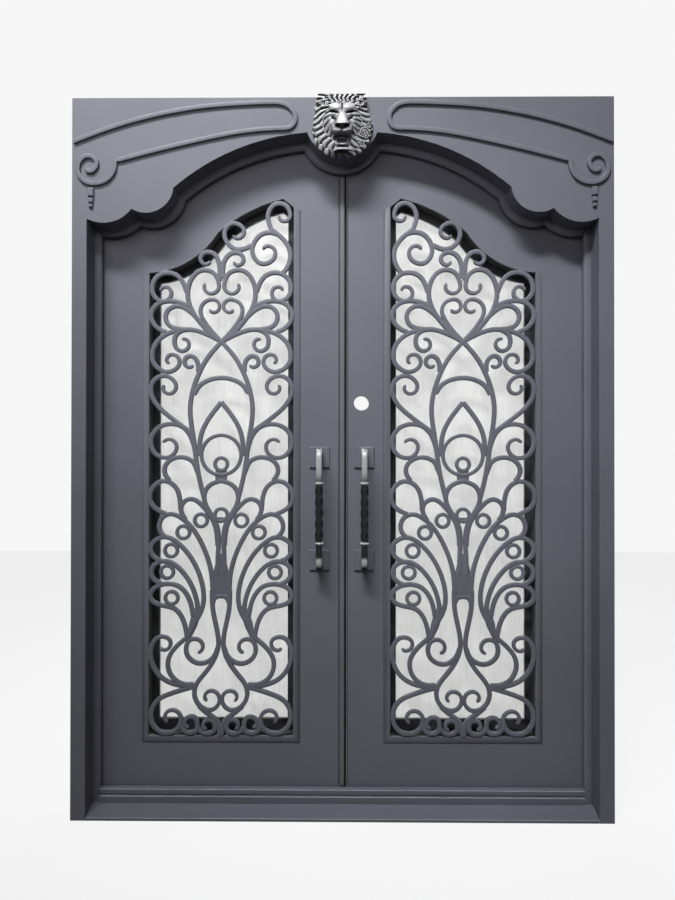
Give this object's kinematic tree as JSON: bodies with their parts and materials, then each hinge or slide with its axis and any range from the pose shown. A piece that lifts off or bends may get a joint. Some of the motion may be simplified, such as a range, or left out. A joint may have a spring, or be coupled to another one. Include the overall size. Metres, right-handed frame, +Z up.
{
  "type": "double wrought iron door",
  "caption": "Arched-header double entry door with scrollwork grilles over obscure glass, vertical pulls and a cast lion head on the header.",
  "frame": {"origin": "middle of the underside of the sill, half way through the frame's depth", "axes": "+Z up, +Y indoors, +X to the right seen from outside"},
  "size_m": [1.8288, 0.2304, 2.4384],
  "materials": {
    "painted_steel": "satin graphite grey paint on steel, a little worn along the edges",
    "rain_glass": "pale obscure glass with fine upright rain texture",
    "cast_ornament": "antique silver rubbed over dark recesses",
    "forged_pull": "dark forged bar, bright where hands rub it",
    "seal_rubber": "black weather seal",
    "hinge_steel": "painted weld-on hinge barrels"
  },
  "bodies": {
    "frame": {"head": "painted_steel", "header_panel": "painted_steel", "header_stop": "painted_steel", "sill": "painted_steel", "threshold_stop": "painted_steel", "lion_head": "cast_ornament", "left_jamb": "painted_steel", "left_stop": "painted_steel", "left_header_scroll": "painted_steel", "left_pendant": "painted_steel", "left_frame_hinges": "hinge_steel", "right_jamb": "painted_steel", "right_stop": "painted_steel", "right_header_scroll": "painted_steel", "right_pendant": "painted_steel", "right_frame_hinges": "hinge_steel"},
    "left_leaf": {"left_hinge_stile": "painted_steel", "left_lock_stile": "painted_steel", "left_top_rail": "painted_steel", "left_bottom_rail": "painted_steel", "left_grille": "painted_steel", "left_glass_frame": "painted_steel", "left_glass": "rain_glass", "left_pull": "forged_pull", "left_pull_plates": "painted_steel", "left_leaf_hinges": "hinge_steel", "astragal": "painted_steel", "meeting_seal": "seal_rubber"},
    "right_leaf": {"right_hinge_stile": "painted_steel", "right_lock_stile": "painted_steel", "right_top_rail": "painted_steel", "right_bottom_rail": "painted_steel", "right_grille": "painted_steel", "right_glass_frame": "painted_steel", "right_glass": "rain_glass", "right_pull": "forged_pull", "right_pull_plates": "painted_steel", "right_leaf_hinges": "hinge_steel"}
  },
  "joints": [
    {"name": "left_leaf_swing", "type": "hinge", "parent": "frame", "child": "left_leaf", "pos_m": [-0.8611, 0.086, 0], "axis": [0, 0, 1], "range_deg": [0, 100]},
    {"name": "right_leaf_swing", "type": "hinge", "parent": "frame", "child": "right_leaf", "pos_m": [0.8611, 0.086, 0], "axis": [0, 0, -1], "range_deg": [0, 100]}
  ]
}
